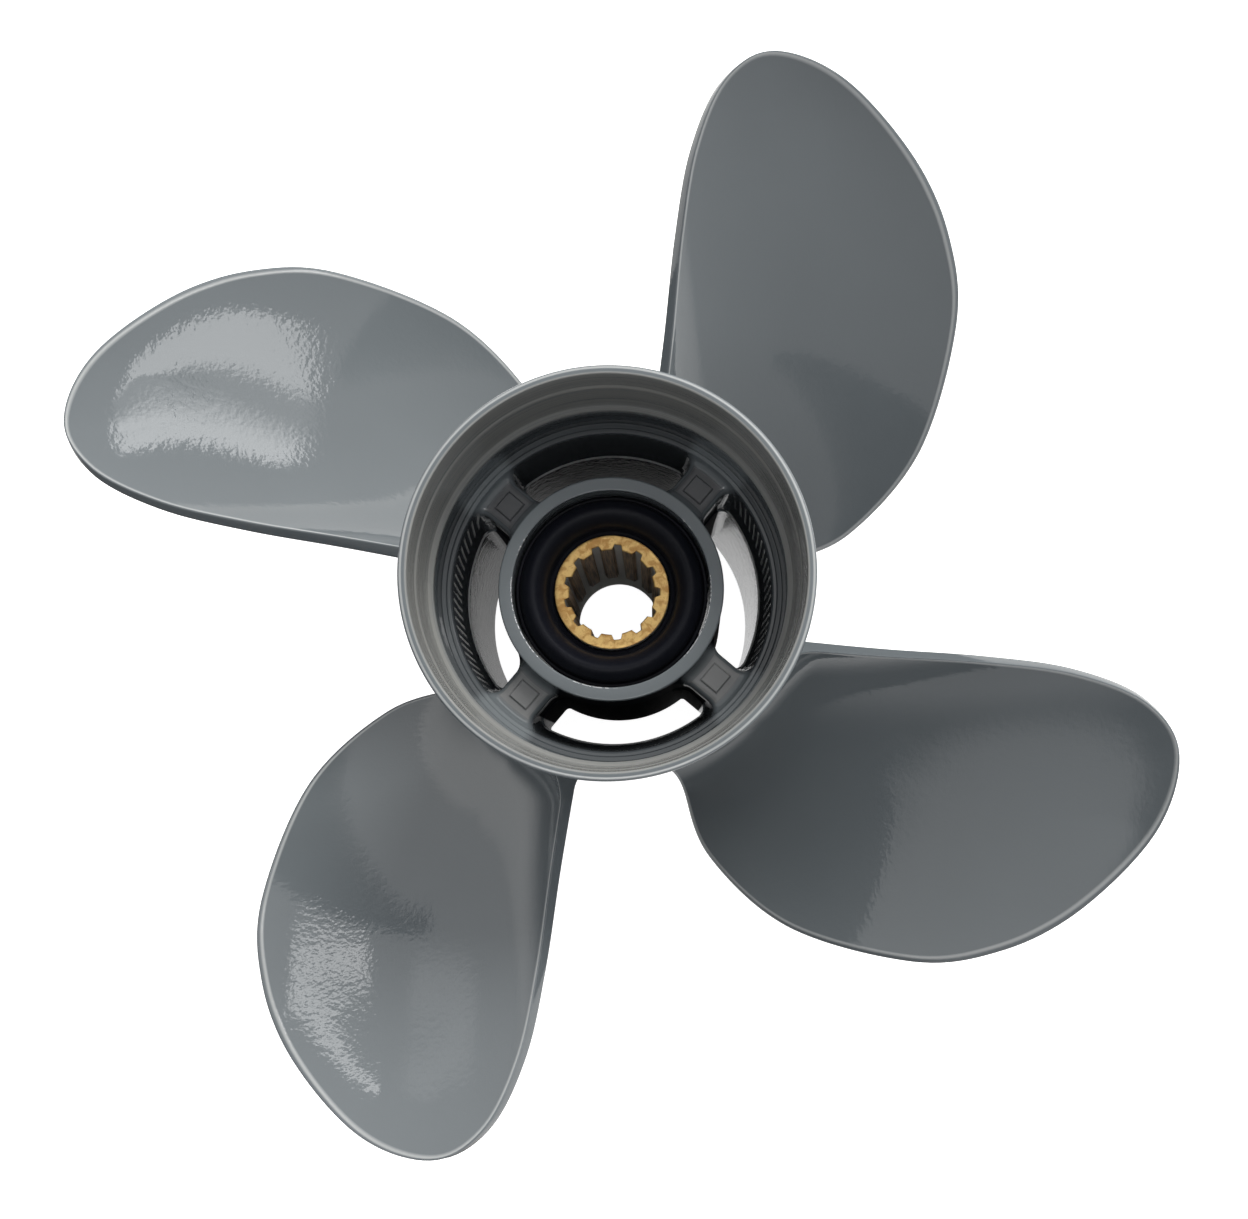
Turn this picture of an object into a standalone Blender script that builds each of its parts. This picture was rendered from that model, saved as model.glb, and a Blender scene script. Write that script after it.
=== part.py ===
"""Four-blade outboard motor propeller with its exhaust passing through the barrel.

Three separate pieces share one axis, which is world Z:
  blade_casting   one aluminium casting: barrel, four blades, four ribs and inner hub tube
  rubber_hub      rubber cushion pressed into the inner hub tube
  spline_sleeve   brass sleeve, bonded inside the rubber, that slides on the propeller shaft

The origin is on the axis, in the plane of the barrel's forward end. The forward end faces down
and the aft end, where the exhaust leaves and the shaft nut sits, faces up.
"""
import math

import bmesh
import bpy

MM = 0.001

# Driving dimensions, in millimetres and degrees
TIP_DIAMETER = 263.5
PITCH = 369.0
BLADE_COUNT = 4
BARREL_LENGTH = 116.6
RIM_RADIUS = 43.3
SPLINE_TEETH = 13
FIT_GAP = 0.3

TIP_RADIUS = TIP_DIAMETER / 2
LEAD_PER_RADIAN = PITCH / (2 * math.pi)

# Barrel: a slightly waisted tube that flares towards its aft rim. Each pair is a radius and a
# height above the forward end. The inside narrows from the rim to the mouths of the exhaust
# passages and then widens a little, with the draft of the cores, to the forward end.
BARREL_BODY_RADIUS = 40.7
LIP_ROUNDING = 0.9
BARREL_OUTSIDE = ((41.0, 0.0), (41.5, 0.6), (40.9, 35.0), (BARREL_BODY_RADIUS, 66.0),
                  (41.4, 82.0), (42.5, 94.0), (43.0, 104.0))
BARREL_INSIDE = ((41.6, BARREL_LENGTH), (41.3, BARREL_LENGTH - 0.5),
                 (40.3, 95.2), (39.2, 93.2), (38.1, 86.2), (37.3, 80.5), (36.2, 72.0),
                 (34.8, 64.5), (35.8, 0.0))

# Inner hub tube, drafted so that it is thicker at its forward end
HUB_AFT_HEIGHT = 86.3
HUB_AFT_RADIUS = 25.6
HUB_BORE_RADIUS = 22.5
HUB_CHAMFER = 0.4
HUB_OUTSIDE = ((27.7, 16.5), (26.9, 41.0), (25.9, 71.0))

# Ribs that carry the hub tube inside the barrel
RIB_WIDTH = 10.0
RIB_ANGLE = 50.0
RIB_FRONT_HEIGHT = 20.5
RIB_FACE_HEIGHT = 79.5
RIB_ROOT_RADIUS = 24.4
RIB_OUTER_RADIUS = 38.4
RIB_INNER_FILLET = 2.5
RIB_INNER_FILLET_START = 25.9
RIB_OUTER_FILLET = 3.0
RIB_OUTER_FILLET_END = 37.3
RIB_OUTER_FILLET_START_ANGLE = 270
RIB_END_RISE = 2.0

# Brass sleeve and the straight-sided splines in its bore
SLEEVE_RADIUS = 13.3
SLEEVE_AFT_HEIGHT = 79.0
SLEEVE_FRONT_HEIGHT = 5.0
SLEEVE_CHAMFER = 0.4
SPLINE_END_HEIGHT = 29.5
SPLINE_MINOR_RADIUS = 9.9
SPLINE_MAJOR_RADIUS = 11.1
FRONT_BORE_RADIUS = 11.2
GROOVE_FLOOR_SHARE = 0.28
GROOVE_MOUTH_SHARE = 0.50

# Rubber cushion, with a rounded bulge round its aft face
RUBBER_FRONT_HEIGHT = 18.0
RUBBER_EDGE_HEIGHT = 80.5
RUBBER_RECESS_HEIGHT = 77.0
BULGE_TOP_HEIGHT = 84.0
BULGE_CENTRE_RADIUS = 18.2
BULGE_ROUNDING = 3.4

# Blades: each section lies on a cylinder about the axis
BLADE_REFERENCE_RADIUS = 39.5
BLADE_REFERENCE_ANGLE = 72.0
BLADE_REFERENCE_HEIGHT = 50.0
RAKE_SLOPE = 0.316
RAKE_CURVE = 0.00164
BLADE_ROOT_RADIUS = 38.6
ROOT_THICKNESS = 8.5
TIP_THICKNESS = 3.0
LEADING_EDGE_THICKNESS = 2.6
TRAILING_EDGE_THICKNESS = 3.4
LEADING_EDGE_CUP = 0.4
ROOT_FILLET = 11.0
BACK_FILLET = 6.0
BACK_FILLET_FADE_HEIGHT = 25.0

# Blade outline as radius and angle about the axis, from the leading edge's root,
# round the tip, to the trailing edge's root
LEADING_EDGE = ((BLADE_ROOT_RADIUS, 27.5), (41.5, 25.0), (51.5, 21.1), (69.5, 21.1),
                (92.7, 28.5), (113.5, 39.6), (123.3, 47.5), (128.8, 55.6))
TIP_POINT = (TIP_RADIUS - 0.1, 65.6)
TRAILING_EDGE = ((128.8, 73.4), (120.0, 77.9), (105.2, 80.1), (87.1, 80.4),
                 (64.8, 79.4), (BLADE_ROOT_RADIUS, 77.4))
SPINE_TIP = (112.0, 62.0)

# Shares of the way round the outline between which the leading edge turns into the trailing edge
TRAILING_STARTS = 0.4
TRAILING_ENDS = 0.6

# Mesh fineness. Blade rows are shares of the way from the outline to the spine, and points
# along each blade crowd towards its root by a power of their share of the length.
TURNED_STEPS = 60
BLADE_STEPS = 20
BLADE_ROWS = (0.0, 0.07, 0.22, 0.5)
ROOT_CROWDING = 1.5


def clear_scene():
    for item in list(bpy.data.objects):
        bpy.data.objects.remove(item, do_unlink=True)


def make_material(name, colour, roughness, metallic):
    material = bpy.data.materials.new(name)
    material.use_nodes = True
    shader = material.node_tree.nodes["Principled BSDF"]
    shader.inputs["Base Color"].default_value = (*colour, 1.0)
    shader.inputs["Roughness"].default_value = roughness
    shader.inputs["Metallic"].default_value = metallic
    return material


def make_object(name, vertices, faces, material=None):
    """Closed mesh object from points in millimetres, with its faces turned outwards."""
    mesh = bpy.data.meshes.new(name)
    mesh.from_pydata([(x * MM, y * MM, z * MM) for x, y, z in vertices], [], faces)
    shape = bmesh.new()
    shape.from_mesh(mesh)
    bmesh.ops.recalc_face_normals(shape, faces=shape.faces)
    shape.to_mesh(mesh)
    shape.free()
    mesh.shade_smooth()
    mesh.set_sharp_from_angle(angle=math.radians(30))
    item = bpy.data.objects.new(name, mesh)
    bpy.context.scene.collection.objects.link(item)
    if material:
        mesh.materials.append(material)
    return item


def polar(radius, angle, height):
    return (radius * math.cos(angle), radius * math.sin(angle), height)


def ring_faces(ring_count, ring_size):
    """Quads between each ring and the next; the last ring joins the first, like a tyre."""
    faces = []
    for ring in range(ring_count):
        following = (ring + 1) % ring_count
        for step in range(ring_size):
            after = (step + 1) % ring_size
            faces.append((ring * ring_size + step, ring * ring_size + after,
                          following * ring_size + after, following * ring_size + step))
    return faces


def turned_piece(name, profile, material=None):
    """Solid of revolution from a closed profile of radius and height."""
    vertices = []
    for radius, height in profile:
        for step in range(TURNED_STEPS):
            vertices.append(polar(radius, 2 * math.pi * step / TURNED_STEPS, height))
    return make_object(name, vertices, ring_faces(len(profile), TURNED_STEPS), material)


def arc(centre, radius, start, end, steps):
    """Points of radius and height on a circular arc; angles in degrees from the radial direction."""
    points = []
    for step in range(steps + 1):
        angle = math.radians(start + (end - start) * step / steps)
        points.append((centre[0] + radius * math.cos(angle), centre[1] + radius * math.sin(angle)))
    return points


# ---- Barrel, hub tube and ribs -------------------------------------------------------------

def barrel_profile():
    lip_centre = (RIM_RADIUS - LIP_ROUNDING, BARREL_LENGTH - LIP_ROUNDING)
    return list(BARREL_OUTSIDE) + arc(lip_centre, LIP_ROUNDING, 0, 90, 2) + list(BARREL_INSIDE)


def hub_tube_profile():
    end = [(HUB_AFT_RADIUS, HUB_AFT_HEIGHT - HUB_CHAMFER),
           (HUB_AFT_RADIUS - HUB_CHAMFER, HUB_AFT_HEIGHT),
           (HUB_BORE_RADIUS + HUB_CHAMFER, HUB_AFT_HEIGHT),
           (HUB_BORE_RADIUS, HUB_AFT_HEIGHT - HUB_CHAMFER)]
    return list(HUB_OUTSIDE) + end + [(HUB_BORE_RADIUS, HUB_OUTSIDE[0][1])]


def rib_profile():
    """Rib seen from its side: a flat aft face that sweeps up into the hub tube and the barrel."""
    inner_centre = (RIB_INNER_FILLET_START + RIB_INNER_FILLET, RIB_FACE_HEIGHT + RIB_INNER_FILLET)
    outer_centre = (RIB_OUTER_FILLET_END - RIB_OUTER_FILLET, RIB_FACE_HEIGHT + RIB_OUTER_FILLET)
    aft = [(RIB_ROOT_RADIUS, inner_centre[1])]
    aft += arc(inner_centre, RIB_INNER_FILLET, 180, 270, 4)
    aft += arc(outer_centre, RIB_OUTER_FILLET, RIB_OUTER_FILLET_START_ANGLE, 360, 4)
    aft += [(RIB_OUTER_RADIUS, outer_centre[1] + RIB_END_RISE)]
    return [(RIB_OUTER_RADIUS, RIB_FRONT_HEIGHT), (RIB_ROOT_RADIUS, RIB_FRONT_HEIGHT)] + aft


def make_rib(index):
    profile = rib_profile()
    count = len(profile)
    turn = math.radians(RIB_ANGLE + 90.0 * index)
    vertices = []
    for side in (-RIB_WIDTH / 2, RIB_WIDTH / 2):
        for radius, height in profile:
            x = radius * math.cos(turn) - side * math.sin(turn)
            y = radius * math.sin(turn) + side * math.cos(turn)
            vertices.append((x, y, height))
    faces = [tuple(range(count)), tuple(range(count, 2 * count))]
    for step in range(count):
        after = (step + 1) % count
        faces.append((step, after, count + after, count + step))
    return make_object(f"rib_{index + 1}", vertices, faces)


# ---- Blades --------------------------------------------------------------------------------

def catmull_rom(before, start, end, after, share):
    result = []
    for a, b, c, d in zip(before, start, end, after):
        result.append(0.5 * (2 * b + (c - a) * share + (2 * a - 5 * b + 4 * c - d) * share ** 2
                             + (3 * b - a - 3 * c + d) * share ** 3))
    return result


def smooth_outline(steps_per_span=24):
    """Dense flat outline of one blade, as x and y, with the index of its tip point."""
    corners = LEADING_EDGE + (TIP_POINT,) + TRAILING_EDGE
    points = [polar(radius, math.radians(angle), 0.0)[:2] for radius, angle in corners]
    first = [2 * a - b for a, b in zip(points[0], points[1])]
    last = [2 * a - b for a, b in zip(points[-1], points[-2])]
    padded = [first] + points + [last]
    dense = []
    for span in range(len(points) - 1):
        for step in range(steps_per_span):
            dense.append(catmull_rom(*padded[span:span + 4], step / steps_per_span))
    dense.append(points[-1])
    return dense, len(LEADING_EDGE) * steps_per_span


def sample_path(path, shares):
    """Points at given shares of a path's length."""
    lengths = [0.0]
    for a, b in zip(path, path[1:]):
        lengths.append(lengths[-1] + math.dist(a, b))
    samples = []
    for share in shares:
        target = share * lengths[-1]
        index = max(i for i, length in enumerate(lengths[:-1]) if length <= target + 1e-9)
        local = (target - lengths[index]) / (lengths[index + 1] - lengths[index])
        samples.append([a + (b - a) * local for a, b in zip(path[index], path[index + 1])])
    return samples


def blade_outline():
    """Radius and angle of points round the blade, closer together near the root."""
    dense, tip = smooth_outline()
    shares = [(step / BLADE_STEPS) ** ROOT_CROWDING for step in range(BLADE_STEPS + 1)]
    leading = sample_path(dense[:tip + 1], shares)
    trailing = sample_path(dense[tip:][::-1], shares)
    flat = leading + trailing[::-1][1:]
    return [(math.hypot(x, y), math.atan2(y, x)) for x, y in flat]


def blade_height(radius, angle):
    """Height of the blade's reference surface: a raked screw surface."""
    out = radius - BLADE_REFERENCE_RADIUS
    turn = angle - math.radians(BLADE_REFERENCE_ANGLE)
    return BLADE_REFERENCE_HEIGHT + LEAD_PER_RADIAN * turn + RAKE_SLOPE * out + RAKE_CURVE * out * out


def blade_point(radius, angle, lift):
    """Point a distance, lift, off the reference surface, measured along the section's cylinder."""
    steepness = math.atan2(LEAD_PER_RADIAN, radius)
    shifted = angle - lift * math.sin(steepness) / radius
    return polar(radius, shifted, blade_height(radius, angle) + lift * math.cos(steepness))


def fillet_lift(radius, size):
    """Extra thickness where the blade flares into the barrel."""
    inward = BARREL_BODY_RADIUS + size - radius
    if inward <= 0:
        return 0.0
    inward = min(inward, size)
    return size - math.sqrt(size * size - inward * inward)


def blade_lifts(radius, angle, share, trailing):
    """Lift of the aft face and of the forward face at a share of the way from edge to spine."""
    outwards = (radius - BLADE_ROOT_RADIUS) / (TIP_RADIUS - BLADE_ROOT_RADIUS)
    middle = ROOT_THICKNESS + (TIP_THICKNESS - ROOT_THICKNESS) * outwards
    edge_thickness = LEADING_EDGE_THICKNESS + (TRAILING_EDGE_THICKNESS - LEADING_EDGE_THICKNESS) * trailing
    thickness = edge_thickness + (middle - edge_thickness) * (1 - (1 - share) ** 2)
    cup = LEADING_EDGE_CUP + (1 - LEADING_EDGE_CUP) * trailing
    edge_lift = edge_thickness * cup * (1 - share) ** 4
    fade = min(max(blade_height(radius, angle) / BACK_FILLET_FADE_HEIGHT, 0.0), 1.0)
    aft = edge_lift + fillet_lift(radius, ROOT_FILLET)
    forward = edge_lift - thickness - fade * fillet_lift(radius, BACK_FILLET)
    return aft, forward


def blade_spine(outline):
    """Line up the middle of the blade that both halves of its mesh share."""
    middle_angle = (outline[0][1] + outline[-1][1]) / 2
    spine = []
    for step in range(BLADE_STEPS + 1):
        share = (step / BLADE_STEPS) ** ROOT_CROWDING
        spine.append((BLADE_ROOT_RADIUS + (SPINE_TIP[0] - BLADE_ROOT_RADIUS) * share,
                      middle_angle + (math.radians(SPINE_TIP[1]) - middle_angle) * share))
    return spine


def turned_about_axis(points, turn):
    c, s = math.cos(turn), math.sin(turn)
    return [(x * c - y * s, x * s + y * c, z) for x, y, z in points]


def make_blade(index):
    """Closed blade: an aft and a forward face, each a grid of rows from the outline to the spine."""
    outline = blade_outline()
    spine = blade_spine(outline)
    last = len(outline) - 1
    vertices = []
    grids = []
    for side in (0, 1):
        spine_start = len(vertices)
        for radius, angle in spine:
            vertices.append(blade_point(radius, angle, blade_lifts(radius, angle, 1.0, 0.5)[side]))
        grid = []
        for number, (edge_radius, edge_angle) in enumerate(outline):
            trailing = (number / last - TRAILING_STARTS) / (TRAILING_ENDS - TRAILING_STARTS)
            trailing = min(max(trailing, 0.0), 1.0)
            along = min(number, last - number)
            line = []
            for share in BLADE_ROWS:
                radius = edge_radius + (spine[along][0] - edge_radius) * share
                angle = edge_angle + (spine[along][1] - edge_angle) * share
                line.append(len(vertices))
                lift = blade_lifts(radius, angle, share, trailing)[side]
                vertices.append(blade_point(radius, angle, lift))
            grid.append(line + [spine_start + along])
        grids.append(grid)

    faces = []
    for grid in grids:
        for line, following in zip(grid, grid[1:]):
            for row in range(len(BLADE_ROWS)):
                faces.append((line[row], following[row], following[row + 1], line[row + 1]))
    aft, forward = grids
    for number in range(last):
        faces.append((aft[number][0], aft[number + 1][0], forward[number + 1][0], forward[number][0]))
    for end in (0, last):
        for row in range(len(BLADE_ROWS)):
            faces.append((aft[end][row], aft[end][row + 1], forward[end][row + 1], forward[end][row]))
    turn = 2 * math.pi * index / BLADE_COUNT
    return make_object(f"blade_{index + 1}", turned_about_axis(vertices, turn), faces)


# ---- The three pieces ----------------------------------------------------------------------

def join_by_union(base, shapes):
    """Merge guide shapes into the base with one Boolean union; the guides aren't parts."""
    guides = bpy.data.collections.new("casting_guides")
    bpy.context.scene.collection.children.link(guides)
    for shape in shapes:
        bpy.context.scene.collection.objects.unlink(shape)
        guides.objects.link(shape)
        shape.hide_render = True
        shape.display_type = "WIRE"
    union = base.modifiers.new("join_shapes", "BOOLEAN")
    union.operation = "UNION"
    union.solver = "EXACT"
    union.operand_type = "COLLECTION"
    union.collection = guides


def make_blade_casting():
    paint = make_material("grey_gloss_paint", (0.17, 0.18, 0.19), 0.22, 0.0)
    casting = turned_piece("blade_casting", barrel_profile(), paint)
    shapes = [turned_piece("hub_tube", hub_tube_profile())]
    shapes += [make_rib(index) for index in range(BLADE_COUNT)]
    shapes += [make_blade(index) for index in range(BLADE_COUNT)]
    join_by_union(casting, shapes)


def make_rubber_hub():
    """Cushion with a groove beside the hub tube, a rounded bulge and a recess beside the brass."""
    rubber = make_material("black_rubber", (0.012, 0.012, 0.014), 0.45, 0.0)
    outer = HUB_BORE_RADIUS - FIT_GAP
    inner = SLEEVE_RADIUS + FIT_GAP
    bulge_centre = (BULGE_CENTRE_RADIUS, BULGE_TOP_HEIGHT - BULGE_ROUNDING)
    profile = [(outer, RUBBER_FRONT_HEIGHT), (outer, RUBBER_EDGE_HEIGHT)]
    profile += arc(bulge_centre, BULGE_ROUNDING, 0, 180, 6)
    profile += [(inner, RUBBER_RECESS_HEIGHT), (inner, RUBBER_FRONT_HEIGHT)]
    turned_piece("rubber_hub", profile, rubber)


def spline_angles():
    """Angles of the points round one spline pitch, with the groove centred on zero."""
    pitch = 2 * math.pi / SPLINE_TEETH
    floor = pitch * GROOVE_FLOOR_SHARE / 2
    mouth = pitch * GROOVE_MOUTH_SHARE / 2
    land = (pitch - 2 * mouth) / 4
    groove = [(-mouth, False), (-floor, True), (0.0, True), (floor, True), (mouth, False)]
    return groove + [(mouth + land * step, False) for step in (1, 2, 3)]


def make_spline_sleeve():
    brass = make_material("brass", (0.55, 0.38, 0.16), 0.35, 1.0)
    angles = []
    for tooth in range(SPLINE_TEETH):
        angles += [(2 * math.pi * tooth / SPLINE_TEETH + angle, deep) for angle, deep in spline_angles()]

    def plain(radius, height):
        return [polar(radius, angle, height) for angle, deep in angles]

    def splined(height):
        return [polar(SPLINE_MAJOR_RADIUS if deep else SPLINE_MINOR_RADIUS, angle, height)
                for angle, deep in angles]

    rings = [plain(SLEEVE_RADIUS - SLEEVE_CHAMFER, SLEEVE_FRONT_HEIGHT),
             plain(SLEEVE_RADIUS, SLEEVE_FRONT_HEIGHT + SLEEVE_CHAMFER),
             plain(SLEEVE_RADIUS, SLEEVE_AFT_HEIGHT - SLEEVE_CHAMFER),
             plain(SLEEVE_RADIUS - SLEEVE_CHAMFER, SLEEVE_AFT_HEIGHT),
             splined(SLEEVE_AFT_HEIGHT), splined(SPLINE_END_HEIGHT),
             plain(FRONT_BORE_RADIUS, SPLINE_END_HEIGHT), plain(FRONT_BORE_RADIUS, SLEEVE_FRONT_HEIGHT)]
    vertices = [point for ring in rings for point in ring]
    make_object("spline_sleeve", vertices, ring_faces(len(rings), len(angles)), brass)


clear_scene()
make_blade_casting()
make_rubber_hub()
make_spline_sleeve()
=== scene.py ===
import math

import bmesh
import bpy
import numpy as np
from mathutils import Matrix, Vector


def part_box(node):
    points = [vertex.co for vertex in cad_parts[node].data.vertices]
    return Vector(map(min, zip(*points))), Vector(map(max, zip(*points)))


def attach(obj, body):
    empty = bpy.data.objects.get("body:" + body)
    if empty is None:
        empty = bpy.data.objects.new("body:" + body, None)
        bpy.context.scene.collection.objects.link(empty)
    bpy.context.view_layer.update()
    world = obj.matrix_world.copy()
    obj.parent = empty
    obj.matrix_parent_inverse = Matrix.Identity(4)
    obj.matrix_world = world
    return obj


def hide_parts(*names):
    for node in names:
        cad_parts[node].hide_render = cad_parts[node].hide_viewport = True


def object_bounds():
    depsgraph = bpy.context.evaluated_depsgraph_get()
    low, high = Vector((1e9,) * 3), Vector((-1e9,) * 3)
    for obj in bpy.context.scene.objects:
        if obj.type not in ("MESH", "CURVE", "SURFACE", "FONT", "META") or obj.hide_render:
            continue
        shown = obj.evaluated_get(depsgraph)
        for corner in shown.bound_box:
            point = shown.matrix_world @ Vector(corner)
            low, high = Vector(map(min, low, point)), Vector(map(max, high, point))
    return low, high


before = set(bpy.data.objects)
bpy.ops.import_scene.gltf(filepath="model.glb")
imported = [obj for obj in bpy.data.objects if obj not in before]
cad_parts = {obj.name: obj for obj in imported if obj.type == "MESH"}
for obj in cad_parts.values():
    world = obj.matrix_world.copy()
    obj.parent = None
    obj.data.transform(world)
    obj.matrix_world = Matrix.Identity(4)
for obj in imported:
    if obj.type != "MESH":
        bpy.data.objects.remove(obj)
CAD_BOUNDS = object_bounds()

# Finished look of a four-blade outboard propeller. Lengths are in millimetres until a mesh is
# made. The propeller's axis is Z; its forward end rests on the floor and its aft end faces up.
MM = 0.001
CASTING_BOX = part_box("blade_casting")
RUBBER_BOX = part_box("rubber_hub")
SLEEVE_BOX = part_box("spline_sleeve")

# Barrel, as radius and height. The third value rounds the profile's corner.
BARREL_LENGTH = CASTING_BOX[1].z / MM
RIM_RADIUS = 43.3
PASSAGE_MOUTH = 64.5
MOUTH_LEDGE = 0.35
BARREL_OUTSIDE = ((41.4, 0.0, 0.6), (40.9, 35.0, 12.0), (40.7, 66.0, 10.0), (41.4, 82.0, 6.0),
                  (42.5, 94.0, 5.0), (43.0, 104.0, 5.0), (RIM_RADIUS, BARREL_LENGTH, 0.95))
BARREL_INSIDE = ((41.3, BARREL_LENGTH, 0.45), (41.05, 108.2, 0.5), (40.72, 107.4, 0.4),
                 (40.6, 104.0, 1.0), (40.3, 95.0, 0.35),
                 (39.2, 93.4, 0.35), (39.1, 82.2, 0.3), (38.1, 81.8, 0.12), (37.9, 81.3, 0.12),
                 (36.9, 80.8, 0.5), (36.2, 73.0, 3.0), (34.8 + MOUTH_LEDGE, PASSAGE_MOUTH + 0.4, 0.2),
                 (34.8, PASSAGE_MOUTH, 0.15), (35.0, 50.0, 1.0), (35.8, 0.0, 0.5))

# Inner hub tube
HUB_AFT = 86.3
HUB_BORE = 22.5
HUB_OUTSIDE = ((27.7, 16.5, 0.8), (26.9, 41.0, 8.0), (25.9, 71.0, 8.0), (25.6, HUB_AFT, 0.5))
HUB_INSIDE = ((HUB_BORE, HUB_AFT, 0.35), (HUB_BORE, 16.5, 0.4))

# Ribs between the hub tube and the barrel
RIB_COUNT = 4
RIB_ANGLE = 50.0
RIB_HALF_WIDTH = 5.0
RIB_FRONT = 20.5
RIB_FACE = 79.5
RIB_EDGE_ROUNDING = 1.8
RIB_FRONT_FILLET = 1.2
RIB_SIDE_FILLET = 3.2
RIB_HUB_FILLET = 2.5
RIB_BARREL_FILLET = 1.5
RIB_FILLET_RADII = (25.8, 37.0)
RIB_ENDS = (24.2, 38.2)
RIB_STATIONS = 43
PAD_RADII = (28.6, 33.6)
PAD_HALF_WIDTH = 2.65
PAD_HEIGHT = 0.5
PAD_SLOPE = 0.35

# Blades: sections lie on cylinders about the axis
BLADE_COUNT = 4
TIP_RADIUS = 131.65
LEAD_PER_RADIAN = 369.0 / (2 * math.pi)
REFERENCE_RADIUS = 39.5
REFERENCE_ANGLE = math.radians(72.0)
REFERENCE_HEIGHT = 50.0
RAKE_SLOPE = 0.316
RAKE_CURVE = 0.00164
BLADE_ROOT = 38.6
ROOT_THICKNESS = 8.5
TIP_THICKNESS = 3.0
LEADING_THICKNESS = 2.6
TRAILING_THICKNESS = 3.4
LEADING_BEVEL = 1.7
BEVEL_FALL = 1.5
TRAILING_ROUNDING = 0.5
AFT_FILLET = 11.0
FORWARD_FILLET = 6.0
FORWARD_FILLET_FADE = 25.0
LEADING_EDGE = ((BLADE_ROOT, 27.5), (41.5, 25.0), (51.5, 21.1), (69.5, 21.1),
                (92.7, 28.5), (113.5, 39.6), (123.3, 47.5), (128.8, 55.6))
TIP_POINT = (TIP_RADIUS, 65.6)
TRAILING_EDGE = ((128.8, 73.4), (120.0, 77.9), (105.2, 80.1), (87.1, 80.4),
                 (64.8, 79.4), (BLADE_ROOT, 77.4))
SPINE_TIP = (112.0, 62.0)
BLADE_STEPS = 90
STEP_CROWDING = 1.35
TRAILING_STARTS = 0.42
TRAILING_ENDS = 0.58
ROOT_BLEND = (46.0, 54.0)
# Edge sections as shares of the edge's width and depth: a softened bevel leads, a corner trails
BEVEL_REACH = 1.12
LEADING_SECTION = ((0.0, 1.0), (0.1, 0.68), (0.3, 0.46), (0.62, 0.2), (0.94, 0.03), (BEVEL_REACH, 0.0))
TRAILING_SECTION = ((0.0, 1.0), (0.05, 0.69), (0.19, 0.41), (0.41, 0.19), (0.69, 0.05), (1.0, 0.0))
# Rows at each face's edge that carry the painted highlight line
HIGHLIGHT_ROWS = (4, 5)
EDGE_INSETS = (0.4, 1.0, 2.2, 4.2, 7.0)
SPINE_SHARES = (0.12, 0.26, 0.42, 0.6, 0.8)

# Brass sleeve
SPLINE_TEETH = 13
SLEEVE_RADIUS = SLEEVE_BOX[1].x / MM
SLEEVE_FRONT = SLEEVE_BOX[0].z / MM
SLEEVE_AFT = SLEEVE_BOX[1].z / MM
SPLINE_END = 29.5
SPLINE_MINOR = 9.9
SPLINE_MAJOR = 11.1
FRONT_BORE = 11.2
# Wall of a groove from the land to its floor, as a share of the pitch and a share of the depth
GROOVE_WALL = ((-0.262, 0.0), (-0.248, 0.04), (-0.236, 0.14), (-0.158, 0.9), (-0.14, 1.0))

# Rubber cushion
RUBBER_OUTER = RUBBER_BOX[1].x / MM
RUBBER_FRONT = RUBBER_BOX[0].z / MM
RUBBER_TOP = RUBBER_BOX[1].z / MM
RUBBER_INNER = SLEEVE_RADIUS + 0.3
RUBBER_PROFILE = ((RUBBER_OUTER, RUBBER_FRONT, 0.8), (RUBBER_OUTER, 79.6, 0.5), (21.3, 79.4, 0.6),
                  (21.0, 82.0, 1.8), (18.2, RUBBER_TOP + 0.9, 3.2), (15.2, 81.5, 1.8),
                  (14.6, 77.2, 0.8), (RUBBER_INNER, 76.8, 0.3), (RUBBER_INNER, RUBBER_FRONT, 0.4))

TURNED_STEPS = 288

# Studio. Directions are turns about the axis from +X and rises above the floor. Each wall or flag
# fades out between two rises in degrees. A flag has its turn and the facings where it starts and
# is full.
FLOOR_GLOW = 0.45
UNDER_GLOW = 0.03
UNDER_GLOW_RIGHT = 0.62
UNDER_GLOW_LEFT = 0.2
WALL_TURN = math.radians(135.0)
WALL_DARK = 0.82
WALL_LIGHT = 1.22
WALL_TOP = (34.0, 50.0)
SKY_DARK = 0.06
SKY_LIGHT = 1.0
KEY_TURN = math.radians(66.0)
KEY_RISE = math.radians(40.0)
KEY_POWER = 55.0
FILL_TURN = math.radians(75.0)
FILL_RISE = math.radians(83.0)
FILL_POWER = 4.0
WALL_FLAG = (math.radians(-165.0), 0.72, 0.92)
FLOOR_FLAG = (math.radians(-140.0), 0.45, 0.85)
FLAG_TOP = (23.0, 15.0)
FLAG_HIDES = 0.92
# Window groups: turn and rise of the pivot, lean of the uprights and of the sills, panes. Each pane:
# lowest turn, softness, highest turn, softness, lowest rise, highest rise, softness, strength. All
# are degrees from the pivot.
WINDOWS = (
    (33.0, 24.0, -0.6, 0.45, ((-10.0, 0.8, 2.6, 1.2, -1.7, 5.6, 0.4, 4.6),
                              (3.0, 1.0, 8.5, 3.0, -1.7, 5.6, 0.4, 0.9),
                              (9.0, 3.2, 14.5, 0.8, -1.7, 5.6, 0.4, 5.5))),
    (112.0, 20.5, 1.25, 0.216, ((-14.0, 0.5, 4.9, 0.4, -1.2, 0.7, 0.2, 4.8),)),
    (126.0, 17.0, 0.0, 0.45, ((-3.0, 1.5, 12.0, 3.0, -1.5, 1.6, 0.9, 0.7),)),
    (52.0, 53.0, 0.0, 0.0, ((-27.0, 5.0, 27.0, 5.0, -6.0, 7.0, 4.0, 2.5),)),
    (-90.0, 66.0, 0.0, 0.0, ((-30.0, 6.0, 30.0, 6.0, -8.0, 8.0, 3.0, 4.0),)))

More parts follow.
